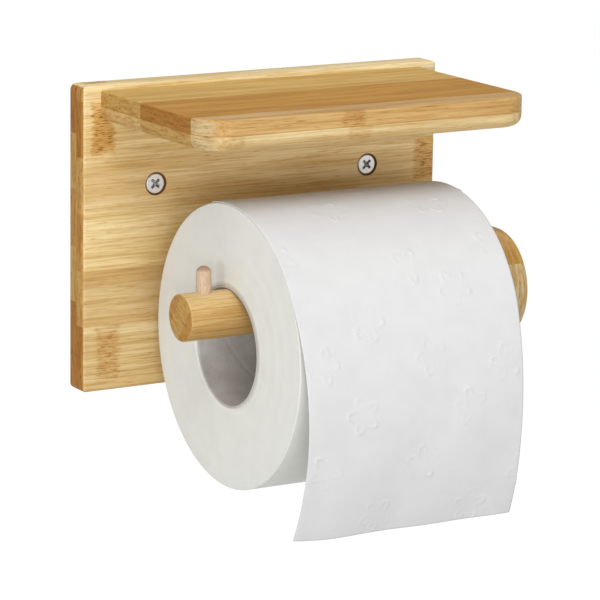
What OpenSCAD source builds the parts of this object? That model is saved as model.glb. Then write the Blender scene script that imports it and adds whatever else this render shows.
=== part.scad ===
// Wall-mounted bamboo toilet paper holder with a shelf, carrying a paper roll.
// Frame: the wall is the plane y = 0, the front is -Y, +Z is up, and the origin is the
// centre of the back plate's rear face. Lengths are in millimetres, angles in degrees.

/* [Back plate] */
// Width of the back plate
plate_w = 160; // [140:1:200]
// Height of the back plate
plate_h = 120; // [95:1:160]
// Thickness of the back plate
plate_t = 10; // [8:0.5:16]
// Round-over on the back plate's front edges
plate_edge_r = 1.6; // [0.5:0.1:3]
// Radius of the back plate's corners, seen from the front
plate_corner_r = 2.4; // [1:0.1:5]

/* [Shelf] */
// Width of the shelf
shelf_w = 144; // [120:1:180]
// Depth of the shelf in front of the back plate
shelf_d = 82; // [66:1:110]
// Thickness of the shelf's upper ply
upper_ply_t = 6; // [5:0.5:9]
// Thickness of the shelf's lower ply
lower_ply_t = 6; // [5:0.5:9]
// Height of the back plate that stands up above the shelf
shelf_drop = 2; // [1:0.5:12]
// Radius of the shelf's front corners, seen from above
shelf_corner_r = 13; // [6:0.5:25]
// Round-over along the shelf's top edge
shelf_top_edge_r = 1; // [0.5:0.1:3]
// Round-over along the shelf's bottom edge
shelf_bottom_edge_r = 4; // [1:0.5:4.5]

/* [Arm] */
// Thickness of the arm
arm_t = 10; // [8:0.5:16]
// Height of the arm, whose front end is a half circle
arm_h = 44; // [36:1:56]
// Round-over on the arm's edges
arm_edge_r = 2; // [0.5:0.1:3]

/* [Rod] */
// Diameter of the rod
rod_d = 18; // [15:0.5:24]
// Diameter of the tenon turned on the rod's fixed end
tenon_d = 12; // [8:0.5:14]
// Length of the tenon glued into the arm
tenon_l = 7; // [5:0.5:7.5]
// Round-over on the rod's free end
rod_end_r = 0.8; // [0.3:0.1:2]

/* [Stop pin] */
// Diameter of the stop pin
pin_d = 5.8; // [4:0.1:8]
// Height of the stop pin above the rod
pin_proud = 10; // [7:0.5:12]
// Depth of the stop pin's hole in the rod
pin_depth = 12; // [8:0.5:14]
// Height of the stop pin's domed top
pin_dome = 2.2; // [0.5:0.1:2.4]
// Distance from the rod's free end to the stop pin's axis
pin_inset = 10; // [7:0.5:20]

/* [Wall screws] */
// Distance between the two wall screws
screw_pitch = 96; // [70:1:120]
// Height of the wall screws above the back plate's centre
screw_rise = 20; // [5:1:30]
// Diameter of a wall screw's shoulder and thread
screw_d = 4; // [3:0.1:5]
// Length of a wall screw's plain shank behind the back plate
screw_shank_l = 8; // [3:0.5:15]
// Diameter of a wall screw's head
screw_head_d = 7.8; // [6:0.1:9.5]
// Length of a wall screw under its head's top
screw_l = 44; // [30:1:60]
// Mouth diameter of the countersinks in the back plate
countersink_d = 9.2; // [7:0.1:12]

/* [Assembly screws] */
// Diameter of the screws driven from behind into the shelf and the arm
assembly_d = 3.4; // [2.5:0.1:4]
// Length of these screws
assembly_l = 36; // [25:1:50]
// Diameter of their heads
assembly_head_d = 6.8; // [5:0.1:8]
// Distance between the two screws in the shelf
shelf_pitch = 92; // [60:1:110]
// Distance between the two screws in the arm
arm_pitch = 22; // [14:1:28]

/* [Paper roll] */
// Inside diameter of the cardboard core
core_bore = 44.8; // [36:0.2:50]
// Wall thickness of the cardboard core
core_wall = 0.8; // [0.6:0.1:1.5]
// Diameter of the wound paper
roll_d = 108.8; // [80:0.2:125]
// Width of the paper
roll_w = 96; // [90:1:110]
// Gap between the back plate and the wound paper
wall_gap = 5.6; // [3:0.1:12]
// Gap between the shelf and the paper
head_room = 23; // [14:0.5:40]
// Spare length of rod between the stop pin and the arm
side_play = 23.1; // [6:0.1:40]
// Gap between the stop pin and the roll as it hangs
pin_gap = 7.1; // [1:0.1:30]

/* [Loose sheet] */
// Thickness of the loose sheet
sheet_t = 0.4; // [0.3:0.1:1]
// Height of the sheet's start, in degrees round the roll from its foremost line
sheet_start = 104; // [80:1:140]
// Height at which the sheet leaves the roll, in degrees from its foremost line
sheet_leave = 15; // [5:1:40]
// Radius of the hanging stretch's curve
sheet_curve_r = 131; // [100:1:200]
// Height of the sheet's end below the roll's axis
sheet_fall = 63; // [50:1:90]

/* [Fits] */
// Play round a screw's shank in its clearance hole, on the radius
hole_play = 0.3; // [0.1:0.05:0.6]
// Gap between the rod and the core that hangs on it
core_play = 0.3; // [0.1:0.05:1]
// Gap between the wound paper and the loose sheet
sheet_play = 0.3; // [0.1:0.05:1]

/* [Hidden] */
$fn = 96;
EPS = 0.01;          // overshoot of a cut past a face
GLUE = 0.02;         // film of glue round a tenon or a pin, on the radius
HEAD_LIP = 0.3;      // height of the chamfer round a screw head's top
SHANK = 0.9;         // a screw's plain shank as a share of its thread's diameter
SHOULDER_PAST = 0.3; // length by which a wall screw's shoulder comes out behind the plate
SEAM = 0.2;          // angle by which two bands of the sheet run into each other

BAMBOO = "#CFA264";
BAMBOO_DARK = "#B98A4E";
BAMBOO_PALE = "#D9B37A";
BEECH = "#D9B593";
ZINC = "#C9CBCC";
STEEL = "#A9ABAD";
CARDBOARD = "#A7A29A";
PAPER = "#EDECEA";

// Places along the depth, seen from the wall
plate_front = -plate_t;
shelf_front = plate_front - shelf_d;

// Heights
plate_top = plate_h / 2;
shelf_top = plate_top - shelf_drop;
glue_line = shelf_top - upper_ply_t;
shelf_under = glue_line - lower_ply_t;
sheet_r = roll_d / 2 + sheet_play;                 // inner radius of the sheet on the roll
roll_z = shelf_under - head_room - sheet_r - sheet_t;
rod_z = roll_z + core_bore / 2 - core_play - rod_d / 2;

// The rod, the arm and the roll
rod_y = plate_front - wall_gap - roll_d / 2;
arm_outer = shelf_w / 2;
arm_inner = arm_outer - arm_t;
rod_l = pin_inset + pin_d / 2 + roll_w + side_play;
rod_end = arm_inner - rod_l;
pin_x = rod_end + pin_inset;
roll_left = pin_x + pin_d / 2 + pin_gap;

// A rectangle from the origin with rounded corners on its +X side
module rounded_end(w, h, r) {
    union() {
        square([w - r, h]);
        translate([0, r]) square([w, h - 2 * r]);
        for (y = [r, h - r]) translate([w - r, y]) circle(r);
    }
}

// A centred rectangle with four rounded corners
module rounded_rect(w, h, r) {
    union() {
        square([w - 2 * r, h], center = true);
        square([w, h - 2 * r], center = true);
        for (x = [-1, 1], y = [-1, 1]) translate([x * (w / 2 - r), y * (h / 2 - r)]) circle(r);
    }
}

// Turns a profile drawn as (distance in front of the wall, height) to run along X from x0
module along_x(x0, length) {
    translate([x0, 0, 0]) rotate([90, 0, 90]) mirror([1, 0]) linear_extrude(length) children();
}

// The outline of one ply's edge: r is measured outwards, and the rounded edge is on top
module ply_edge(t, r, round_r) {
    intersection() {
        square([r, t]);
        union() {
            square([r - round_r, t]);
            square([r, t - round_r]);
            translate([r - round_r, t - round_r]) circle(round_r);
        }
    }
}

// One ply of the shelf with its rounded edge on top, standing on z = 0
module ply(t, round_r) {
    side = shelf_w / 2 - shelf_corner_r;
    straight = shelf_d - shelf_corner_r;
    union() {
        translate([-side, shelf_front + shelf_corner_r, 0]) cube([2 * side, straight, t]);
        for (s = [0, 1]) mirror([s, 0, 0]) {
            translate([side, shelf_front + shelf_corner_r, 0])
                rotate([0, 0, -90]) rotate_extrude(angle = 90) ply_edge(t, shelf_corner_r, round_r);
            translate([side, plate_front, 0]) rotate([90, 0, 0])
                linear_extrude(straight) ply_edge(t, shelf_corner_r, round_r);
        }
        translate([-side, shelf_front + shelf_corner_r, 0]) rotate([90, 0, 90])
            linear_extrude(2 * side) mirror([1, 0]) ply_edge(t, shelf_corner_r, round_r);
    }
}

// A countersunk wood screw along +Y, with the top of its head at y = 0. Its full-width
// shoulder ends at shoulder_end, and the thinner shank behind it at thread_start.
module wood_screw(d, head_d, length, shoulder_end, thread_start) {
    root_r = 0.35 * d;
    pitch = 0.45 * d;
    turns = floor((length - thread_start - 1.5 * d) / pitch);
    rotate([-90, 0, 0]) difference() {
        rotate_extrude() polygon(concat(
            [[0, 0], [head_d / 2 - HEAD_LIP, 0], [head_d / 2, HEAD_LIP],
             [d / 2, (head_d - d) / 2 + HEAD_LIP], [d / 2, shoulder_end],
             [SHANK * d / 2, shoulder_end], [SHANK * d / 2, thread_start]],
            [for (i = [0 : turns - 1], p = [[root_r, 0.2], [d / 2, 0.75]])
                [p[0], thread_start + (i + p[1]) * pitch]],
            [[root_r, thread_start + turns * pitch], [0, length]]));
        phillips(head_d);
    }
}

// The cross recess of a screw with its head's top at z = 0, going down +Z
module phillips(head_d) {
    arm = 0.6 * head_d;
    slot = 0.15 * head_d;
    depth = 0.28 * head_d;
    for (a = [45, 135]) rotate([0, 0, a]) translate([-arm / 2, -slot / 2, -EPS])
        cube([arm, slot, depth]);
    translate([0, 0, -EPS]) cylinder(h = depth + 0.4, r1 = 0.15 * head_d, r2 = 0.06 * head_d);
}

// A clearance hole along Y with a countersink whose mouth is at y = mouth, opening to -Y
module countersunk_hole(mouth, shank_r, mouth_d, length) {
    depth = mouth_d / 2 - shank_r;
    translate([0, mouth, 0]) rotate([-90, 0, 0]) union() {
        translate([0, 0, -EPS]) cylinder(h = length + 2 * EPS, r = shank_r);
        translate([0, 0, -EPS]) cylinder(h = depth, r1 = mouth_d / 2 + EPS, r2 = shank_r);
    }
}

// Puts a child at each wall screw's axis
module at_wall_screw(side) {
    translate([side * screw_pitch / 2, 0, screw_rise]) children();
}

// Puts a child at each of the shelf's screw axes, on the glue line
module at_shelf_screw(side) {
    translate([side * shelf_pitch / 2, 0, glue_line]) children();
}

// Puts a child at each of the arm's screw axes
module at_arm_screw(side) {
    translate([arm_outer - arm_t / 2, 0, rod_z + side * arm_pitch / 2]) children();
}

// An assembly screw pointing forwards, with its head flush in the back plate's rear face
module assembly_screw() {
    rotate([0, 0, 180])
        wood_screw(assembly_d, assembly_head_d, assembly_l, plate_t - 3, plate_t + 2);
}

// The hole that an assembly screw passes through in the back plate
module assembly_hole() {
    rotate([0, 0, 180]) countersunk_hole(0, assembly_d / 2 + GLUE,
        assembly_head_d + 2 * HEAD_LIP + 2 * GLUE, plate_t);
}

// The pilot hole that an assembly screw cuts its way into
module assembly_pilot() {
    rotate([90, 0, 0]) cylinder(h = assembly_l + 0.5, r = assembly_d / 2 + GLUE);
}

module back_plate() {
    r = plate_edge_r;
    color(BAMBOO) difference() {
        intersection() {
            rotate([90, 0, 0]) linear_extrude(plate_t) rounded_rect(plate_w, plate_h, plate_corner_r);
            along_x(-plate_w / 2, plate_w) translate([0, -plate_h / 2]) rounded_end(plate_t, plate_h, r);
            translate([0, 0, -plate_h / 2]) linear_extrude(plate_h)
                rotate(-90) translate([0, -plate_w / 2]) rounded_end(plate_t, plate_w, r);
        }
        for (side = [-1, 1]) {
            at_wall_screw(side)
                countersunk_hole(plate_front, screw_d / 2 + hole_play, countersink_d, plate_t);
            at_shelf_screw(side) assembly_hole();
            at_arm_screw(side) assembly_hole();
        }
    }
}

module shelf_upper_ply() {
    color(BAMBOO_DARK) difference() {
        translate([0, 0, glue_line]) ply(upper_ply_t, shelf_top_edge_r);
        for (side = [-1, 1]) at_shelf_screw(side) assembly_pilot();
    }
}

module shelf_lower_ply() {
    color(BAMBOO_PALE) difference() {
        translate([0, 0, glue_line]) mirror([0, 0, 1]) ply(lower_ply_t, shelf_bottom_edge_r);
        for (side = [-1, 1]) at_shelf_screw(side) assembly_pilot();
    }
}

module arm() {
    color(BAMBOO_DARK) difference() {
        translate([(arm_inner + arm_outer) / 2, rod_y, rod_z]) union() {
            rotate([-90, 0, 0]) linear_extrude(plate_front - rod_y)
                rounded_rect(arm_t, arm_h, arm_edge_r);
            rotate([0, 90, 0]) rotate([0, 0, 180]) rotate_extrude(angle = 180)
                translate([0, -arm_t / 2]) rounded_end(arm_h / 2, arm_t, arm_edge_r);
        }
        translate([arm_inner - EPS, rod_y, rod_z]) rotate([0, 90, 0])
            cylinder(h = tenon_l + 0.5, r = tenon_d / 2 + GLUE);
        for (side = [-1, 1]) at_arm_screw(side) assembly_pilot();
    }
}

module rod() {
    color(BAMBOO_PALE) difference() {
        translate([rod_end, rod_y, rod_z]) rotate([0, 90, 0]) union() {
            rotate_extrude() union() {
                translate([0, rod_end_r]) square([rod_d / 2, rod_l - rod_end_r]);
                square([rod_d / 2 - rod_end_r, rod_l]);
                translate([rod_d / 2 - rod_end_r, rod_end_r]) circle(rod_end_r);
            }
            cylinder(h = rod_l + tenon_l, r = tenon_d / 2);
        }
        translate([pin_x, rod_y, rod_z + rod_d / 2 - pin_depth])
            cylinder(h = pin_depth + 1, r = pin_d / 2 + GLUE);
    }
}

module stop_pin() {
    // Radius of the dome that spans the pin's diameter at its chosen height
    dome_r = (pow(pin_d / 2, 2) + pow(pin_dome, 2)) / (2 * pin_dome);
    length = pin_depth + pin_proud;
    color(BEECH) translate([pin_x, rod_y, rod_z + rod_d / 2 - pin_depth]) intersection() {
        cylinder(h = length, r = pin_d / 2);
        union() {
            cylinder(h = length - pin_dome, r = pin_d);
            translate([0, 0, length - dome_r]) rotate_extrude() intersection() {
                circle(dome_r);
                translate([0, -dome_r]) square([dome_r, 2 * dome_r]);
            }
        }
    }
}

module wall_screw(side) {
    // The head sinks until its cone meets the countersink's
    sink = (countersink_d - screw_head_d) / 2 - HEAD_LIP - GLUE;
    shoulder_end = plate_t - sink + SHOULDER_PAST;
    color(ZINC) at_wall_screw(side) translate([0, plate_front + sink, 0])
        wood_screw(screw_d, screw_head_d, screw_l, shoulder_end, shoulder_end + screw_shank_l);
}

module wall_screw_left() { wall_screw(-1); }
module wall_screw_right() { wall_screw(1); }
module shelf_screw_left() { color(STEEL) at_shelf_screw(-1) assembly_screw(); }
module shelf_screw_right() { color(STEEL) at_shelf_screw(1) assembly_screw(); }
module arm_screw_upper() { color(STEEL) at_arm_screw(1) assembly_screw(); }
module arm_screw_lower() { color(STEEL) at_arm_screw(-1) assembly_screw(); }

// A tube along X on the roll's axis, as wide as the paper
module roll_tube(inner_r, outer_r) {
    translate([roll_left, rod_y, roll_z]) rotate([0, 90, 0]) difference() {
        cylinder(h = roll_w, r = outer_r);
        translate([0, 0, -1]) cylinder(h = roll_w + 2, r = inner_r);
    }
}

module roll_core() {
    color(CARDBOARD) roll_tube(core_bore / 2, core_bore / 2 + core_wall);
}

module roll_paper() {
    color(PAPER) roll_tube(core_bore / 2 + core_wall, roll_d / 2);
}

// A band between two angles on a circle about the origin, as an outline
module arc_band(r, t, from, to) {
    reach = 2 * r;
    mid = (from + to) / 2;
    intersection() {
        difference() {
            circle(r + t, $fn = 180);
            circle(r, $fn = 180);
        }
        polygon([[0, 0], for (a = [from, mid, to]) reach * [cos(a), sin(a)]]);
    }
}

module paper_sheet() {
    // The hanging stretch's arc starts where the sheet leaves the roll, in the same direction
    back = sheet_curve_r - sheet_r;
    centre = [-back * cos(sheet_leave), -back * sin(sheet_leave)];
    end_angle = asin((-sheet_fall - centre[1]) / sheet_curve_r);
    color(PAPER) translate([0, rod_y, roll_z]) along_x(roll_left, roll_w) union() {
        arc_band(sheet_r, sheet_t, sheet_leave - SEAM, sheet_start);
        translate(centre) arc_band(sheet_curve_r, sheet_t, end_angle, sheet_leave);
    }
}

back_plate();
shelf_upper_ply();
shelf_lower_ply();
arm();
rod();
stop_pin();
wall_screw_left();
wall_screw_right();
shelf_screw_left();
shelf_screw_right();
arm_screw_upper();
arm_screw_lower();
roll_core();
roll_paper();
paper_sheet();
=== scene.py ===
"""Looks of a bamboo toilet paper holder with its roll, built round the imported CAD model.

Everything is in metres in the model's own frame: the wall is the plane y = 0, the front is -Y and
+Z is up. Sizes of patterns are named in millimetres and turned into metres where they are used.
"""

import math
import random

import bpy
import numpy as np
from mathutils import Matrix, Vector


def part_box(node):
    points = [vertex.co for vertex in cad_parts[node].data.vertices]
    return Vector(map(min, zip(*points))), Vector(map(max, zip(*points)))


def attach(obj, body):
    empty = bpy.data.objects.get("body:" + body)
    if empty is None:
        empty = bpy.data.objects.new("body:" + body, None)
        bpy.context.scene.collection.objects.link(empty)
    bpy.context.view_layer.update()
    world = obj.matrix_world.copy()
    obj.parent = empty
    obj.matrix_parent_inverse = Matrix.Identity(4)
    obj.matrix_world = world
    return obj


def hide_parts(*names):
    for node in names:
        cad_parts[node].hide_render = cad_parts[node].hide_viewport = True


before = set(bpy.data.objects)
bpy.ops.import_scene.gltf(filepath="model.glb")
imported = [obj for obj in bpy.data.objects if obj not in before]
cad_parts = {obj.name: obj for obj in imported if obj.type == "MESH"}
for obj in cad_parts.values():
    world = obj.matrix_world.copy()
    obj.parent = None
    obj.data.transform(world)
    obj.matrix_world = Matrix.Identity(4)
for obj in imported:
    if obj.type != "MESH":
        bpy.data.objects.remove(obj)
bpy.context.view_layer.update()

MM = 0.001  # metres in a millimetre

# ---------------------------------------------------------------- places, from the frame
core_low, core_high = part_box("roll_core")
roll_low, roll_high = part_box("roll_paper")
rod_low, rod_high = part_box("rod")
screw_low, screw_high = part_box("wall_screw_left")

ROLL_LEFT, ROLL_RIGHT = roll_low.x, roll_high.x
ROLL_W = ROLL_RIGHT - ROLL_LEFT
ROLL_R = (roll_high.z - roll_low.z) / 2
AXIS = Vector((0, (roll_low.y + roll_high.y) / 2, (roll_low.z + roll_high.z) / 2))
CORE_R = (core_high.z - core_low.z) / 2
CORE_WALL = 0.8 * MM
ROD_AXIS = Vector((0, (rod_low.y + rod_high.y) / 2, (rod_low.z + rod_high.z) / 2))
SCREW = (screw_low + screw_high) / 2
SCREW_FRONT = screw_low.y
SHEET_LENGTH = 164 * MM

# ---------------------------------------------------------------- colours and nodes


def colour(code):
    """Turns an sRGB hex colour such as #C8A26B into the linear values that Blender mixes."""
    parts = [int(code[i : i + 2], 16) / 255 for i in (1, 3, 5)]
    linear = [p / 12.92 if p <= 0.04045 else ((p + 0.055) / 1.055) ** 2.4 for p in parts]
    return (*linear, 1.0)


def add(tree, kind, inputs=None, stops=(), **settings):
    """Adds one node with its settings, and sets or links each input that is named.

    stops are a colour ramp's, each a place from 0 to 1 and a hex colour.
    """
    node = tree.nodes.new("ShaderNode" + kind)
    for name, value in settings.items():
        setattr(node, name, value)
    for i, (at, code) in enumerate(stops):
        # A new ramp has two stops, so only the later ones are added
        elements = node.color_ramp.elements
        element = elements[i] if i < len(elements) else elements.new(at)
        element.position = at
        element.color = colour(code)
    for socket, value in (inputs or {}).items():
        if isinstance(value, bpy.types.NodeSocket):
            tree.links.new(value, node.inputs[socket])
        else:
            node.inputs[socket].default_value = value
    return node


def new_material(name):
    """A material with an empty tree, and its principled shader wired to the output."""
    material = bpy.data.materials.new(name)
    material.use_nodes = True
    tree = material.node_tree
    tree.nodes.clear()
    shader = add(tree, "BsdfPrincipled")
    add(tree, "OutputMaterial", {"Surface": shader.outputs["BSDF"]})
    return material, tree, shader


def millimetres(tree):
    """The surface's own place in the model in millimetres, as it lies at rest."""
    place = add(tree, "TexCoord").outputs["Object"]
    return add(tree, "VectorMath", {0: place, "Scale": 1 / MM}, operation="SCALE").outputs[0]


# ---------------------------------------------------------------- bamboo

# Tones of one culm, from its pale inner wall to the browner wood under its skin
CREAM = "#FAEABC"
PALE = "#F0DAA6"
BUFF = "#ECD4A2"
STRAW = "#E2CC9C"
SAND = "#DABE8A"
HONEY = "#D4B076"
GOLD = "#E0BA6A"
AMBER = "#CC983A"
OAT = "#CAB286"
BISCUIT = "#D0AE74"
TAN = "#BE9856"
CARAMEL = "#B68846"
TOFFEE = "#A8742E"


# Figures of the wood: size in mm along the grain, across it and deep, detail and roughness of
# the noise, its shift, and the values at which the figure starts to show and shows fully
BANDS = (80, 5, 5), 3.0, 0.5, 0.0, 0.34, 0.68           # broad light and dark bands
STREAKS = (30, 0.8, 0.8), 3.0, 0.6, 7.3, 0.42, 0.66     # fibres that the eye can follow
DASHES = (6, 0.3, 0.3), 1.0, 0.5, 19.1, 0.60, 0.76      # open vessels cut lengthwise
NICKS = (3.0, 0.42, 0.42), 1.0, 0.5, 31.0, 0.51, 0.64   # short scars in a knuckle
RAGGED = (7, 0.9, 0.9), 2.0, 0.5, 5.0, 0.0, 1.0         # uneven border of a knuckle
END_BANDS = (400, 8, 1.1), 3.0, 0.5, 0.0, 0.40, 0.64    # layers of an end
PORES = (400, 2.4, 0.4), 1.0, 0.5, 3.7, 0.54, 0.70      # vessels cut across, pressed flat


def figure(tree, grain, size, detail, roughness, shift, start, full):
    """One figure of the wood: its noise, and how strongly it shows, from 0 to 1."""
    scaled = add(
        tree,
        "VectorMath",
        {0: grain, 1: tuple(1 / side for side in size), 2: (shift, shift, shift)},
        operation="MULTIPLY_ADD",
    ).outputs[0]
    noise = add(
        tree,
        "TexNoise",
        {"Vector": scaled, "Scale": 1.0, "Detail": detail, "Roughness": roughness},
    ).outputs["Fac"]
    shows = add(
        tree,
        "MapRange",
        {"Value": noise, "From Min": start, "From Max": full},
        interpolation_type="SMOOTHSTEP",
    ).outputs[0]
    return noise, shows


def stained(tree, base, *stains):
    """The base colour under stains, each an amount from 0 to 1 and the tint it gives."""
    for amount, tint in stains:
        base = add(
            tree,
            "Mix",
            {"Factor": amount, 6: base, 7: colour(tint)},
            data_type="RGBA",
            blend_type="MULTIPLY",
        ).outputs[2]
    return base


def strip_tones(tree, width, strips):
    """The tone of the long grain and that of the end grain, which change from strip to strip."""
    LAST_STRIP = 60                 # width in mm that is kept for the last strip
    first, last = strips[0][0], strips[-1][0] + LAST_STRIP
    share = add(tree, "MapRange", {"Value": width, "From Min": first, "From Max": last}).outputs[0]
    tones = []
    for tone in (1, 2):
        stops = [((strip[0] - first) / (last - first), strip[tone]) for strip in strips]
        ramp = add(tree, "ValToRGB", {"Fac": share}, stops)
        ramp.color_ramp.interpolation = "CONSTANT"
        tones.append(ramp.outputs["Color"])
    return tones


def knuckle_mark(tree, grain, length, width, knuckle):
    """How strongly a knuckle marks the long grain, from 0 to its strength, with a ragged border."""
    HALF = 5.0                      # half length of a knuckle along the grain
    RAGGEDNESS = 1.1                # how far its border wanders
    OUTSIDE, INSIDE = 1.75, 1.25    # the border is soft between these
    at, low, high, strength = knuckle
    on_strips = add(tree, "CombineXYZ", {0: length, 1: width}).outputs[0]
    off_middle = add(
        tree, "VectorMath", {0: on_strips, 1: (at, (low + high) / 2, 0)}, operation="SUBTRACT"
    ).outputs[0]
    reach = add(tree, "VectorMath", {0: off_middle}, operation="ABSOLUTE").outputs[0]
    reach = add(
        tree, "VectorMath", {0: reach, 1: (1 / HALF, 2 / (high - low), 1)}, operation="MULTIPLY"
    ).outputs[0]
    sides = add(tree, "SeparateXYZ", {0: reach}).outputs
    furthest = add(tree, "Math", {0: sides[0], 1: sides[1]}, operation="MAXIMUM").outputs[0]
    border = figure(tree, grain, *RAGGED)[0]
    border = add(
        tree, "Math", {0: border, 1: RAGGEDNESS, 2: furthest}, operation="MULTIPLY_ADD"
    ).outputs[0]
    return add(
        tree,
        "MapRange",
        {"Value": border, "From Min": OUTSIDE, "From Max": INSIDE, "To Max": strength},
        interpolation_type="SMOOTHSTEP",
    ).outputs[0]


def countersink_painted_shade(tree, on_face, depth, hole):
    """How strongly a place on the wall of a countersink is painted darker as shade, from 0 to 1."""
    RIM, FLOOR = 0.1, 0.3           # softness in mm of its edge and of its end
    hole_along, hole_across, radius, deep = hole
    off_axis = add(
        tree, "VectorMath", {0: on_face, 1: (hole_along, hole_across, 0)}, operation="DISTANCE"
    ).outputs["Value"]
    in_rim = add(
        tree,
        "MapRange",
        {"Value": off_axis, "From Min": radius + RIM, "From Max": radius - RIM},
        interpolation_type="SMOOTHSTEP",
    ).outputs[0]
    in_front = add(
        tree,
        "MapRange",
        {"Value": depth, "From Min": deep, "From Max": deep - FLOOR},
        interpolation_type="SMOOTHSTEP",
    ).outputs[0]
    return add(tree, "Math", {0: in_rim, 1: in_front}, operation="MULTIPLY").outputs[0]


def bamboo(name, along, across, strips, knuckles=(), layer=None, glue_line=None, turn=None, holes=()):
    """Bamboo: strips glued side by side, sanded and given a satin lacquer.

    The eye gets straight fine fibres with short dark dashes along the grain, tones that change
    from strip to strip, speckled vessels on the ends, and knuckles where a strip had its joint.
    strips are (start in mm, tone of the long grain, tone of the end grain), in rising order.
    knuckles are (place along the grain, from, to, strength), in mm. layer is (depth, shift) of a
    second layer of strips, and glue_line the depth of a joint between two plies. turn is (angle,
    axis, centre in mm) of strips that lie at a slant, and holes are (along, across, radius, how
    deep) of countersinks, whose walls are painted darker as shade.
    """
    STRIP_SHIFT = (900, 40, 700)    # how far a strip's own tone moves its figure, in mm
    SIDE_FACE, END_FACE = 0.45, 0.75    # from long grain to end grain, by how a face is turned
    GLUE_EDGE, GLUE = 0.3, 0.1      # from beside the glue line to inside it, in mm

    material, tree, shader = new_material(name)
    place = millimetres(tree)
    if turn:
        angle, axis, centre = turn
        place = add(
            tree, "VectorRotate", {"Vector": place, "Center": centre, "Axis": axis, "Angle": angle}
        ).outputs[0]
    split = add(tree, "SeparateXYZ", {0: place}).outputs
    inwards = ({"X", "Y", "Z"} - {along, across}).pop()
    length, width, depth = split[along], split[across], split[inwards]
    on_face = add(tree, "CombineXYZ", {0: length, 1: width}).outputs[0]
    if layer:
        behind = add(tree, "Math", {0: depth, 1: layer[0]}, operation="GREATER_THAN").outputs[0]
        width = add(
            tree, "Math", {0: behind, 1: layer[1], 2: width}, operation="MULTIPLY_ADD"
        ).outputs[0]
    side_tone, end_tone = strip_tones(tree, width, strips)
    # Each strip's own tone moves its figure, so that no band runs on across a joint
    grain = add(tree, "CombineXYZ", {0: length, 1: width, 2: depth}).outputs[0]
    grain = add(
        tree, "VectorMath", {0: side_tone, 1: STRIP_SHIFT, 2: grain}, operation="MULTIPLY_ADD"
    ).outputs[0]

    streak_noise, streaks = figure(tree, grain, *STREAKS)
    dashes = figure(tree, grain, *DASHES)[1]
    bands = figure(tree, grain, *BANDS)[1]
    long_grain = stained(
        tree, side_tone, (bands, "#ECE0CC"), (streaks, "#EADFCC"), (dashes, "#E4D2B6")
    )
    marks = None
    for knuckle in knuckles:
        mark = knuckle_mark(tree, grain, length, width, knuckle)
        if marks is None:
            marks = mark
        else:
            marks = add(tree, "Math", {0: marks, 1: mark}, operation="MAXIMUM").outputs[0]
    if knuckles:
        nicks = figure(tree, grain, *NICKS)[1]
        nicks = add(tree, "Math", {0: nicks, 1: marks}, operation="MULTIPLY").outputs[0]
        long_grain = stained(tree, long_grain, (marks, "#EAD3AC"), (nicks, "#C0925C"))
    end_bands = figure(tree, grain, *END_BANDS)[1]
    pores = figure(tree, grain, *PORES)[1]
    end_grain = stained(tree, end_tone, (end_bands, "#E8DAC2"), (pores, "#DECBAE"))

    facing = add(
        tree, "SeparateXYZ", {0: add(tree, "TexCoord").outputs["Normal"]}
    ).outputs[along]
    facing = add(tree, "Math", {0: facing}, operation="ABSOLUTE").outputs[0]
    on_end = add(
        tree,
        "MapRange",
        {"Value": facing, "From Min": SIDE_FACE, "From Max": END_FACE},
        interpolation_type="SMOOTHSTEP",
    ).outputs[0]
    surface = add(
        tree, "Mix", {"Factor": on_end, 6: long_grain, 7: end_grain}, data_type="RGBA"
    ).outputs[2]
    # Painted shade: the walls of the countersinks are stained dark brown
    for hole in holes:
        surface = stained(tree, surface, (countersink_painted_shade(tree, on_face, depth, hole), "#7A6450"))
    if glue_line is not None:
        off_line = add(tree, "Math", {0: depth, 1: glue_line}, operation="SUBTRACT").outputs[0]
        off_line = add(tree, "Math", {0: off_line}, operation="ABSOLUTE").outputs[0]
        in_glue = add(
            tree,
            "MapRange",
            {"Value": off_line, "From Min": GLUE_EDGE, "From Max": GLUE},
            interpolation_type="SMOOTHSTEP",
        ).outputs[0]
        surface = stained(tree, surface, (in_glue, "#E8D8BC"))

    height = add(tree, "Math", {0: streak_noise, 1: dashes}, operation="SUBTRACT").outputs[0]
    bump = add(
        tree, "Bump", {"Height": height, "Strength": 0.25, "Distance": 0.04 * MM}
    ).outputs[0]
    satin = add(tree, "MapRange", {"Value": streak_noise, "To Min": 0.45, "To Max": 0.62}).outputs[0]
    tree.links.new(surface, shader.inputs["Base Color"])
    tree.links.new(satin, shader.inputs["Roughness"])
    tree.links.new(bump, shader.inputs["Normal"])
    shader.inputs["Specular IOR Level"].default_value = 0.14
    return material


# ---------------------------------------------------------------- other finishes


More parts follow.
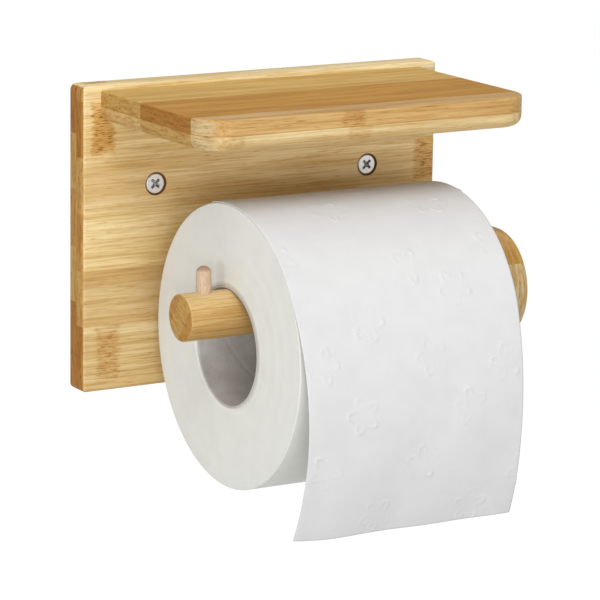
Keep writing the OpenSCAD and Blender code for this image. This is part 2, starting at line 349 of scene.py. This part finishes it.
def beech(name):
    """Beech dowel, turned and left bare: a pale pinkish wood.

    The eye gets short darker flecks along the dowel and a browner, open end on its dome.
    """
    FLECK_LENGTH, FLECK_WIDTH = 1.8, 0.22
    material, tree, shader = new_material(name)
    place = millimetres(tree)
    stretched = add(
        tree,
        "VectorMath",
        {0: place, 1: (1 / FLECK_WIDTH, 1 / FLECK_WIDTH, 1 / FLECK_LENGTH)},
        operation="MULTIPLY",
    ).outputs[0]
    flecks = add(tree, "TexNoise", {"Vector": stretched, "Scale": 1.0, "Detail": 2.0}).outputs["Fac"]
    side = add(
        tree,
        "ValToRGB",
        {"Fac": flecks},
        [(0.35, "#D0B89A"), (0.55, "#C6AA8C"), (0.72, "#B09074")],
    ).outputs["Color"]
    up = add(tree, "SeparateXYZ", {0: add(tree, "TexCoord").outputs["Normal"]}).outputs["Z"]
    on_end = add(
        tree,
        "MapRange",
        {"Value": up, "From Min": 0.25, "From Max": 0.7},
        interpolation_type="SMOOTHSTEP",
    ).outputs[0]
    surface = add(
        tree,
        "Mix",
        {"Factor": on_end, 6: side, 7: colour("#A48270")},
        data_type="RGBA",
    ).outputs[2]
    tree.links.new(surface, shader.inputs["Base Color"])
    bump = add(tree, "Bump", {"Height": flecks, "Strength": 0.3, "Distance": 0.03 * MM}).outputs[0]
    tree.links.new(bump, shader.inputs["Normal"])
    shader.inputs["Roughness"].default_value = 0.55
    return material


def steel(name, tone, smoothest, roughest, recess=None):
    """Zinc-plated or plain steel, cold headed: a grey metal with a fine frosted grain.

    The eye gets a bright satin head whose sheen breaks up a little, and a recess painted a darker
    grey as shade. smoothest and roughest are the ends of its roughness, and recess is the depth in mm
    from which the metal is painted darker as shade.
    """
    GRAIN = 0.35
    RECESS_EDGE = 0.2
    material, tree, shader = new_material(name)
    if recess is not None:
        # Painted shade: deeper than the recess depth, the metal turns a darker grey
        deep = add(tree, "SeparateXYZ", {0: millimetres(tree)}).outputs["Y"]
        deep = add(
            tree, "MapRange", {"Value": deep, "From Min": recess, "From Max": recess + RECESS_EDGE}
        ).outputs[0]
        tone_with_painted_recess_shade = add(
            tree,
            "Mix",
            {"Factor": deep, 6: colour(tone), 7: colour("#C6CACA")},
            data_type="RGBA",
        ).outputs[2]
        tree.links.new(tone_with_painted_recess_shade, shader.inputs["Base Color"])
    grain = add(
        tree, "TexNoise", {"Vector": millimetres(tree), "Scale": 1 / GRAIN, "Detail": 3.0}
    ).outputs["Fac"]
    satin = add(
        tree, "MapRange", {"Value": grain, "To Min": smoothest, "To Max": roughest}
    ).outputs[0]
    tree.links.new(satin, shader.inputs["Roughness"])
    bump = add(tree, "Bump", {"Height": grain, "Strength": 0.2, "Distance": 0.02 * MM}).outputs[0]
    tree.links.new(bump, shader.inputs["Normal"])
    shader.inputs["Base Color"].default_value = colour(tone)
    shader.inputs["Metallic"].default_value = 1.0
    return material


def tissue(name, tone, shade, rings):
    """Toilet tissue: soft creped paper of bleached pulp.

    The eye gets a matt white surface with fine creases across the web, a faint cloudiness of
    the pulp and, on the ends of the wound roll, the trace of its layers.
    """
    CREPE_LENGTH, CREPE_PITCH = 3.5, 0.45   # coarser than the real 0.1 mm, so that it shows
    CLOUD = 9.0
    LAYER_PITCH = 0.55                      # five layers of 0.11 mm, the finest that shows
    LAYER_SHARE = 0.12                      # how much the layers tint an end
    material, tree, shader = new_material(name)
    place = millimetres(tree)
    stretched = add(
        tree,
        "VectorMath",
        {0: place, 1: (1 / CREPE_LENGTH, 1 / CREPE_PITCH, 1 / CREPE_PITCH)},
        operation="MULTIPLY",
    ).outputs[0]
    crepe = add(
        tree, "TexNoise", {"Vector": stretched, "Scale": 1.0, "Detail": 3.0, "Roughness": 0.6}
    ).outputs["Fac"]
    cloud = add(
        tree, "TexNoise", {"Vector": place, "Scale": 1 / CLOUD, "Detail": 3.0}
    ).outputs["Fac"]
    surface = add(
        tree, "ValToRGB", {"Fac": cloud}, [(0.35, tone), (0.7, shade)]
    ).outputs["Color"]
    height = crepe
    if rings:
        from_axis = add(
            tree,
            "VectorMath",
            {0: place, 1: (0, 1, 1), 2: (0, -AXIS.y / MM, -AXIS.z / MM)},
            operation="MULTIPLY_ADD",
        ).outputs[0]
        radius = add(tree, "VectorMath", {0: from_axis}, operation="LENGTH").outputs["Value"]
        layers = add(
            tree,
            "TexNoise",
            {"W": radius, "Scale": 1 / LAYER_PITCH, "Detail": 2.0},
            noise_dimensions="1D",
        ).outputs["Fac"]
        facing = add(
            tree, "SeparateXYZ", {0: add(tree, "TexCoord").outputs["Normal"]}
        ).outputs["X"]
        facing = add(tree, "Math", {0: facing}, operation="ABSOLUTE").outputs[0]
        wound = add(
            tree,
            "Mix",
            {"Factor": LAYER_SHARE, 6: surface, 7: layers},
            data_type="RGBA",
            blend_type="SOFT_LIGHT",
        ).outputs[2]
        surface = add(
            tree, "Mix", {"Factor": facing, 6: surface, 7: wound}, data_type="RGBA"
        ).outputs[2]
        height = add(
            tree, "Mix", {0: facing, 2: crepe, 3: layers}, data_type="FLOAT"
        ).outputs[0]
    bump = add(
        tree, "Bump", {"Height": height, "Strength": 0.35, "Distance": 0.06 * MM}
    ).outputs[0]
    tree.links.new(surface, shader.inputs["Base Color"])
    tree.links.new(bump, shader.inputs["Normal"])
    shader.inputs["Roughness"].default_value = 0.95
    shader.inputs["Specular IOR Level"].default_value = 0.2
    shader.inputs["Sheen Weight"].default_value = 0.1
    return material


def cardboard(name):
    """Grey cardboard of a roll's core, wound in a spiral and glued.

    The eye gets a dull grey-brown with darker fibres and a lighter cloud.
    """
    FIBRE, CLOUD = 0.7, 7.0
    material, tree, shader = new_material(name)
    place = millimetres(tree)
    fibres = add(
        tree, "TexNoise", {"Vector": place, "Scale": 1 / FIBRE, "Detail": 4.0, "Roughness": 0.65}
    ).outputs["Fac"]
    cloud = add(tree, "TexNoise", {"Vector": place, "Scale": 1 / CLOUD, "Detail": 3.0}).outputs["Fac"]
    base = add(
        tree, "ValToRGB", {"Fac": cloud}, [(0.35, "#C4C0BD"), (0.65, "#B6B1AE")]
    ).outputs["Color"]
    dark = add(
        tree,
        "MapRange",
        {"Value": fibres, "From Min": 0.52, "From Max": 0.75},
        interpolation_type="SMOOTHSTEP",
    ).outputs[0]
    surface = add(
        tree,
        "Mix",
        {"Factor": dark, 6: base, 7: colour("#AAA5A1")},
        data_type="RGBA",
    ).outputs[2]
    tree.links.new(surface, shader.inputs["Base Color"])
    bump = add(tree, "Bump", {"Height": fibres, "Strength": 0.4, "Distance": 0.05 * MM}).outputs[0]
    tree.links.new(bump, shader.inputs["Normal"])
    shader.inputs["Roughness"].default_value = 0.9
    shader.inputs["Specular IOR Level"].default_value = 0.25
    return material


# ---------------------------------------------------------------- the paper's shape

# Embossed flowers, in mm on the flat paper: across the web, and along it from the roll's
# foremost line upwards
FLOWER_ROWS = 6             # rows in one turn of the embossing roller
ROW_PITCH = 21              # distance between two rows
FLOWER_PITCH = 44           # distance between two flowers of a row
FLOWER_STRAY = 6            # how far a flower may sit off its place
FLOWER_REPEAT = FLOWER_ROWS * ROW_PITCH
PETALS = 5
PETAL_OUT = 4.2             # distance from a flower's middle to the middle of a petal
PETAL_LONG = 2.7            # half length of a petal's outline
PETAL_WIDE = 1.6            # half width
LINE_HALF = 0.38            # half width of the embossed line
LINE_REACH = 2.2            # how far from a petal's middle the line is drawn, in PETAL_LONG
SIDE_PRESS, TIP_PRESS = 0.55, 0.6   # pressure at a petal's sides, and more of it at its tip
FAINTEST = 0.25             # share of the pressure that the faintest petal gets
EMBOSS = 0.42               # depth of the embossing


def scattered_petals():
    """The petals of one repeat: (across, along, direction, strength) of each."""
    draw = random.Random(5)
    petals = []
    for row in range(FLOWER_ROWS):
        for step in (-1, 0, 1):
            half_step = 0.5 * (row % 2)
            across = (step + half_step) * FLOWER_PITCH + draw.uniform(-FLOWER_STRAY, FLOWER_STRAY)
            along = row * ROW_PITCH + draw.uniform(-FLOWER_STRAY, FLOWER_STRAY)
            turn = draw.uniform(0, 2 * math.pi)
            for k in range(PETALS):
                direction = turn + 2 * math.pi * k / PETALS
                petals.append((across, along, direction, draw.uniform(FAINTEST, 1)))
    return petals


def embossing(across, along):
    """Height of the embossed flowers in metres at places on the flat paper, given in mm.

    A petal is the outline of an ellipse, pressed deepest at its tip.
    """
    height = np.zeros_like(across)
    for flower_across, flower_along, direction, strength in scattered_petals():
        u, v = math.cos(direction), math.sin(direction)
        off_across = across - flower_across - PETAL_OUT * u
        off_along = (along - flower_along - PETAL_OUT * v + FLOWER_REPEAT / 2) % FLOWER_REPEAT
        off_along = off_along - FLOWER_REPEAT / 2
        near = np.abs(off_across) + np.abs(off_along) < LINE_REACH * PETAL_LONG
        long = off_across[near] * u + off_along[near] * v
        wide = -off_across[near] * v + off_along[near] * u
        ring = np.hypot(long / PETAL_LONG, wide / PETAL_WIDE)
        off_line = (ring - 1) * (PETAL_LONG + PETAL_WIDE) / 2
        towards_tip = np.clip(SIDE_PRESS + TIP_PRESS * long / PETAL_LONG, 0, 1)
        line = strength * towards_tip * np.exp(-((off_line / LINE_HALF) ** 2))
        height[near] = np.maximum(height[near], line)
    return height * EMBOSS * MM


def mesh_from_grid(name, points, closed_u=False, closed_v=False, capped=False):
    """A mesh of four-sided faces on a grid of points, joined up where it is closed.

    capped is for a flat band whose second half of rows runs back under its first half: its two
    long sides are closed with a strip of faces each.
    """
    rows, columns = points.shape[:2]
    index = np.arange(rows * columns).reshape(rows, columns)
    if closed_u:
        index = np.vstack([index, index[:1]])
    if closed_v:
        index = np.hstack([index, index[:, :1]])
    faces = np.stack(
        [index[:-1, :-1], index[1:, :-1], index[1:, 1:], index[:-1, 1:]], axis=-1
    ).reshape(-1, 4)
    if capped:
        for column, step in ((0, 1), (-1, -1)):
            over, under = index[: rows // 2, column], index[rows // 2 : rows, column][::-1]
            strip = np.stack([over[1:], over[:-1], under[:-1], under[1:]], axis=-1)
            faces = np.vstack([faces, strip[:, ::step]])
    mesh = bpy.data.meshes.new(name)
    mesh.from_pydata(points.reshape(-1, 3).tolist(), [], faces.tolist())
    mesh.polygons.foreach_set("use_smooth", [True] * len(mesh.polygons))
    mesh.validate()
    piece = bpy.data.objects.new(name, mesh)
    bpy.context.scene.collection.objects.link(piece)
    return piece


def turned_profile(profile, around):
    """Place along X, radius and angle of every point of a profile turned round the roll's axis."""
    profile = np.array(profile)
    angle = np.linspace(0, 2 * math.pi, around, endpoint=False)
    x = np.repeat(profile[None, :, 0], around, 0)
    r = np.repeat(profile[None, :, 1], around, 0)
    a = np.repeat(angle[:, None], len(profile), 1)
    return x, r, a


def round_axis(x, r, a, y=AXIS.y, z=AXIS.z):
    """Points at radius r and angle a round an axis, from its foremost line upwards."""
    return np.stack([x, y - r * np.cos(a), z + r * np.sin(a)], axis=-1)


def make_roll_paper():
    """The wound paper: soft edges, faintly uneven layers on its ends, flowers all round."""
    AROUND, ACROSS, OUTWARDS, BEND = 520, 148, 16, 6    # numbers of points
    FILM = 0.02 * MM                  # glue between the core and the paper
    EDGE = 0.6 * MM                   # round-over where the outermost layers end
    SINK, RELIEF = 0.2 * MM, 0.3      # keeps the flattened flowers clear of the loose sheet
    UNEVEN = 0.05 * MM                # how far layers stand in or out of the ends
    UNEVEN_MEAN = 1.6                 # keeps every layer inside the roll's width
    BROAD, FINE = 2.1, 5.3            # groups of layers, in radians for each mm outwards
    FINE_SHARE, LEAN = 0.6, 0.4       # strength of the fine ones, and how the broad ones wander
    bore = CORE_R + FILM
    across = np.linspace(EDGE, ROLL_W - EDGE, ACROSS)
    ends = np.linspace(bore, ROLL_R - EDGE, OUTWARDS)
    bend = np.linspace(0, math.pi / 2, BEND)[1:-1]
    # The profile goes round the section: bore, left end, outside, right end
    left = [(EDGE * (1 - math.cos(b)), ROLL_R - EDGE * (1 - math.sin(b))) for b in bend]
    profile = [(0.0, r) for r in ends] + left
    profile += [(x, ROLL_R) for x in across]
    profile += [(ROLL_W - x, r) for x, r in left[::-1]] + [(ROLL_W, r) for r in ends[::-1]]
    x, r, a = turned_profile(profile, AROUND)
    outside = np.clip((r - (ROLL_R - EDGE)) / EDGE, 0, 1)
    flowers = embossing((x + ROLL_LEFT) / MM, a * ROLL_R / MM)
    r = r - outside * (SINK - RELIEF * flowers)
    wave = np.sin(BROAD * r / MM + LEAN * np.sin(2 * a)) + FINE_SHARE * np.sin(FINE * r / MM + a)
    inwards = UNEVEN * (UNEVEN_MEAN + wave) * (1 - outside)
    x = np.where(x < ROLL_W / 2, x + inwards, x - inwards)
    points = round_axis(x + ROLL_LEFT, r, a)
    return mesh_from_grid("wound_paper_roll", points, closed_u=True, closed_v=True)


def make_core():
    """The cardboard core: a thin tube with its spiral seam inside and soft cut ends."""
    AROUND, ALONG = 240, 160                            # numbers of points
    SEAM_PITCH, SEAM_START = 72 * MM, 0.35              # the start is a share of a turn
    SEAM_WIDTH, SEAM_DEPTH = 0.7 * MM, 0.16 * MM
    CUT, CUT_IN, CUT_OUT = 0.15 * MM, 0.25 * MM, 0.2 * MM   # round-over along, inside, outside
    DENT, DENTS, DENT_TWIST = 0.04 * MM, 3, 9 * MM      # slight dents round the bore
    inner, outer = CORE_R - CORE_WALL, CORE_R
    length = core_high.x - core_low.x
    along = np.linspace(CUT, length - CUT, ALONG)
    profile = [(x, inner) for x in along[::-1]]
    profile += [(0, inner + CUT_IN), (0, outer - CUT_OUT), (CUT, outer)]
    profile += [(length - CUT, outer), (length, outer - CUT_OUT), (length, inner + CUT_IN)]
    x, r, a = turned_profile(profile, AROUND)
    in_bore = r < inner + CUT_IN / 2
    turn = (x / SEAM_PITCH - a / (2 * math.pi) + SEAM_START) % 1
    off_seam = np.minimum(turn, 1 - turn) * SEAM_PITCH
    seam = SEAM_DEPTH * np.exp(-((off_seam / SEAM_WIDTH) ** 2))
    r = r + in_bore * (seam + DENT * np.sin(DENTS * a + x / DENT_TWIST))
    points = round_axis(x + core_low.x, r, a)
    return mesh_from_grid("cardboard_core", points, closed_u=True, closed_v=True)


def make_sheet():
    """The loose end: laid over the roll from behind its top, then hanging free.

    Its left edge springs off the roll sooner and curls more than its right edge does.
    """
    ACROSS, ALONG = 168, 286                            # numbers of points
    THICK = 0.3 * MM
    GAP = 0.05 * MM                   # between the roll and the sheet that lies on it
    START = math.radians(104)         # from the roll's foremost line upwards
    LEAVE_LEFT, LEAVE_RIGHT = math.radians(34), math.radians(15)
    CURVE_LEFT, CURVE_RIGHT = 91 * MM, 131 * MM
    EASE = 0.8                        # how the left edge's course goes over to the right one's
    PRESS = 0.9                       # share of the embossing that the sheet keeps
    THIN_OUT, TUCK = 2 * MM, 0.1 * MM   # the first millimetres thin out and lie down
    RIPPLE_IN = 60 * MM               # length over which the ripples come in
    BROAD, FINE = 0.5 * MM, 0.25 * MM   # depths of the ripples across the sheet
    BROAD_TURN, FINE_TURN = 7.0, 15   # radians of each from its left edge to its right one
    BROAD_START = 1.2                 # where the broad ripple is at the left edge
    FINE_LEAN = 14 * MM               # how the fine ripples lean along it
    inner = ROLL_R + GAP
    t, s = np.meshgrid(np.linspace(0, 1, ACROSS), np.linspace(0, SHEET_LENGTH, ALONG))
    leave = LEAVE_LEFT + (LEAVE_RIGHT - LEAVE_LEFT) * t**EASE
    curve = CURVE_LEFT + (CURVE_RIGHT - CURVE_LEFT) * t**EASE
    laid = inner * (START - leave)
    lies = s < laid
    angle = np.where(lies, START - s / inner, leave - (s - laid) / curve)
    radius = np.where(lies, inner, curve)
    mid_y = AXIS.y - np.where(lies, 0, (inner - curve) * np.cos(leave))
    mid_z = AXIS.z + np.where(lies, 0, (inner - curve) * np.sin(leave))
    x = ROLL_LEFT + t * ROLL_W
    flowers = embossing(x / MM, (START * inner - s) / MM)
    taper = np.clip(s / THIN_OUT, 0, 1)
    hanging = np.clip((s - laid) / RIPPLE_IN, 0, 1)
    ripple = BROAD * np.sin(BROAD_TURN * t + BROAD_START)
    ripple = ripple + FINE * np.sin(FINE_TURN * t + s / FINE_LEAN)
    under = radius + (flowers * PRESS) * taper + ripple * hanging - TUCK * (1 - taper)
    # One closed skin: over the outside, round the two cut ends, back along the inside
    outside = round_axis(x, under + THICK * taper, angle, mid_y, mid_z)
    inside = round_axis(x, under, angle, mid_y, mid_z)
    points = np.concatenate([outside, inside[::-1]], axis=0)
    return mesh_from_grid("loose_paper_sheet", points, closed_u=True, capped=True)


# ---------------------------------------------------------------- camera, stage and lights


def make_camera():
    """A long lens, a little above the shelf and to the left of the holder."""
    AZIMUTH, ELEVATION, ROLL = math.radians(30.8), math.radians(12.4), math.radians(0.85)
    TARGET = Vector((-12.2, -60.0, -19.8)) * MM
    DISTANCE = 1319 * MM
    FOCAL_LENGTH, SENSOR_WIDTH = 207.0, 36.0    # in mm
    NEAREST, FURTHEST = 0.05, 100
    look = Vector(
        (
            math.sin(AZIMUTH) * math.cos(ELEVATION),
            math.cos(AZIMUTH) * math.cos(ELEVATION),
            -math.sin(ELEVATION),
        )
    )
    right = Vector((math.cos(AZIMUTH), -math.sin(AZIMUTH), 0))
    up = right.cross(look)
    turned_right = math.cos(ROLL) * right + math.sin(ROLL) * up
    turned_up = -math.sin(ROLL) * right + math.cos(ROLL) * up
    lens = bpy.data.cameras.new("camera")
    lens.lens = FOCAL_LENGTH
    lens.sensor_width = SENSOR_WIDTH
    lens.clip_start = NEAREST
    lens.clip_end = FURTHEST
    camera = bpy.data.objects.new("camera", lens)
    camera.matrix_world = Matrix.Translation(TARGET - look * DISTANCE) @ Matrix(
        (turned_right, turned_up, -look)
    ).transposed().to_4x4()
    bpy.context.scene.collection.objects.link(camera)
    bpy.context.scene.camera = camera


def make_stage():
    """A wide white floor well below the holder, under a plain white dome.

    A studio's floor and walls are out of the lamps' beams, so they are bright to look at but
    throw little light back: the white surroundings in make_lights do that, evenly.
    """
    FLOOR_DROP, DOME_R = 0.95, 10
    FLOOR_GLOW, DOME_GLOW = 0.45, 1.0
    AROUND, UP = 48, 12
    floor_points = np.array(
        [[(x * DOME_R, y * DOME_R, -FLOOR_DROP) for x in (-1, 1)] for y in (-1, 1)]
    )
    turn, rise = np.meshgrid(
        np.linspace(0, 2 * math.pi, AROUND, endpoint=False), np.linspace(0, math.pi / 2, UP)
    )
    dome_points = DOME_R * np.stack(
        [np.cos(turn) * np.cos(rise), np.sin(turn) * np.cos(rise), np.sin(rise)], axis=-1
    )
    dome_points[..., 2] -= FLOOR_DROP
    floor = mesh_from_grid("floor", floor_points)
    dome = mesh_from_grid("dome", dome_points, closed_v=True)
    for piece, code, glow in ((floor, "#FAFAFA", FLOOR_GLOW), (dome, "#000000", DOME_GLOW)):
        material, tree, shader = new_material("matt white " + piece.name)
        shader.inputs["Base Color"].default_value = colour(code)
        shader.inputs["Roughness"].default_value = 1.0
        shader.inputs["Specular IOR Level"].default_value = 0.0
        shader.inputs["Emission Color"].default_value = colour("#FFFFFF")
        shader.inputs["Emission Strength"].default_value = glow
        piece.data.materials.append(material)
        piece.visible_diffuse = False
        piece.visible_shadow = False
    dome.visible_glossy = False


def make_lights():
    """Soft studio light: white surroundings, and softboxes in front, above and on the left."""
    SURROUNDINGS = 0.58
    world = bpy.data.worlds.new("white studio")
    world.use_nodes = True
    background = world.node_tree.nodes["Background"]
    background.inputs["Color"].default_value = colour("#FFFFFF")
    background.inputs["Strength"].default_value = SURROUNDINGS
    bpy.context.scene.world = world
    softboxes = [
        # name, place, width and height, power in watts
        ("low front softbox", (-0.9, -1.9, 0.10), (1.3, 0.4), 14),
        ("key softbox", (-0.5, -0.9, 1.5), (1.0, 1.0), 12),
        ("side softbox", (-1.6, -0.85, -0.02), (0.35, 0.35), 4.5),
    ]
    for name, place, size, power in softboxes:
        light = bpy.data.lights.new(name, "AREA")
        light.shape = "RECTANGLE"
        light.size, light.size_y = size
        light.energy = power
        lamp = bpy.data.objects.new(name, light)
        lamp.location = place
        lamp.rotation_mode = "QUATERNION"
        lamp.rotation_quaternion = (AXIS - Vector(place)).to_track_quat("-Z", "Y")
        lamp.visible_camera = False
        bpy.context.scene.collection.objects.link(lamp)
    bpy.context.scene.view_settings.view_transform = "Standard"


# ---------------------------------------------------------------- putting it together


def finish_nodes(material, *names):
    """Gives CAD nodes a finish in their own material slots."""
    for name in names:
        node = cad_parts[name]
        if not node.material_slots:
            node.data.materials.append(material)
        for slot in node.material_slots:
            slot.material = material


make_camera()
make_stage()
make_lights()

# Strips of each piece: where one starts, in mm, its long grain and its end grain
PLATE_TONES = [
    (-78, SAND, TOFFEE),
    (-56, STRAW, TOFFEE),
    (-34, SAND, TAN),
    (-12, PALE, CARAMEL),
    (10, BUFF, TAN),
    (32, PALE, TOFFEE),
    (54, CREAM, CARAMEL),
]
UPPER_PLY_TONES = [
    (-120, HONEY, OAT),
    (-81, AMBER, TOFFEE),
    (-42, GOLD, TAN),
]
LOWER_PLY_TONES = [
    (-120, STRAW, OAT),
    (-81, HONEY, TAN),
    (-42, STRAW, BISCUIT),
]
ARM_TONES = [
    (-80, HONEY, TAN),
    (-30, STRAW, OAT),
    (-8, HONEY, TAN),
]
ROD_TONES = [
    (-120, BISCUIT, CARAMEL),
    (-74, STRAW, TAN),
    (-66, STRAW, CARAMEL),
]
# The slant puts the darker biscuit strip along the rod's lower front side: partly the rod's own strip
# tone, partly painted shade under the rod
ROD_SLANT = (math.radians(-35), (1, 0, 0), tuple(ROD_AXIS / MM))
COUNTERSINK_R, COUNTERSINK_DEEP = 4.6, -7    # mouth's radius, and how far in it reaches
COUNTERSINKS = [
    (side * SCREW.x / MM, SCREW.z / MM, COUNTERSINK_R, COUNTERSINK_DEEP) for side in (-1, 1)
]

plate_bamboo = bamboo(
    "laminated bamboo, plate",
    "X",
    "Z",
    PLATE_TONES,
    knuckles=[(-71, 33, 53, 1), (-69, -56, -35, 0.55), (75, 11, 29, 0.8)],
    layer=(-5, -9),
    holes=COUNTERSINKS,
)
upper_bamboo = bamboo(
    "laminated bamboo, upper ply",
    "X",
    "Y",
    UPPER_PLY_TONES,
    knuckles=[(-9, -94, -90, 0.4)],
    glue_line=52,
)
lower_bamboo = bamboo(
    "laminated bamboo, lower ply",
    "X",
    "Y",
    LOWER_PLY_TONES,
    knuckles=[(-6, -94, -90, 0.3), (-60, -94, -90, 0.25)],
    glue_line=52,
)
arm_bamboo = bamboo("laminated bamboo, arm", "Y", "Z", ARM_TONES)
rod_bamboo = bamboo("laminated bamboo, rod", "X", "Y", ROD_TONES, turn=ROD_SLANT)
finish_nodes(plate_bamboo, "back_plate")
finish_nodes(upper_bamboo, "shelf_upper_ply")
finish_nodes(lower_bamboo, "shelf_lower_ply")
finish_nodes(arm_bamboo, "arm")
finish_nodes(rod_bamboo, "rod")
finish_nodes(beech("turned beech"), "stop_pin")
# The wall screws' recesses are painted a darker grey as shade
finish_nodes(
    steel("zinc-plated steel", "#FAFBFB", 0.55, 0.75, recess=SCREW_FRONT / MM + 0.1),
    "wall_screw_left",
    "wall_screw_right",
)
finish_nodes(
    steel("plain steel", "#A9ABAD", 0.3, 0.5),
    "shelf_screw_left",
    "shelf_screw_right",
    "arm_screw_upper",
    "arm_screw_lower",
)

paper_roll = make_roll_paper()
paper_roll.data.materials.append(tissue("wound tissue paper", "#E4E4DE", "#E0E0DA", True))
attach(paper_roll, "roll")
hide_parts("roll_paper")

core = make_core()
core.data.materials.append(cardboard("grey cardboard"))
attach(core, "roll")
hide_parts("roll_core")

loose_sheet = make_sheet()
loose_sheet.data.materials.append(tissue("embossed tissue paper", "#DBDBDB", "#D7D7D7", False))
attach(loose_sheet, "loose_end")
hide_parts("paper_sheet")
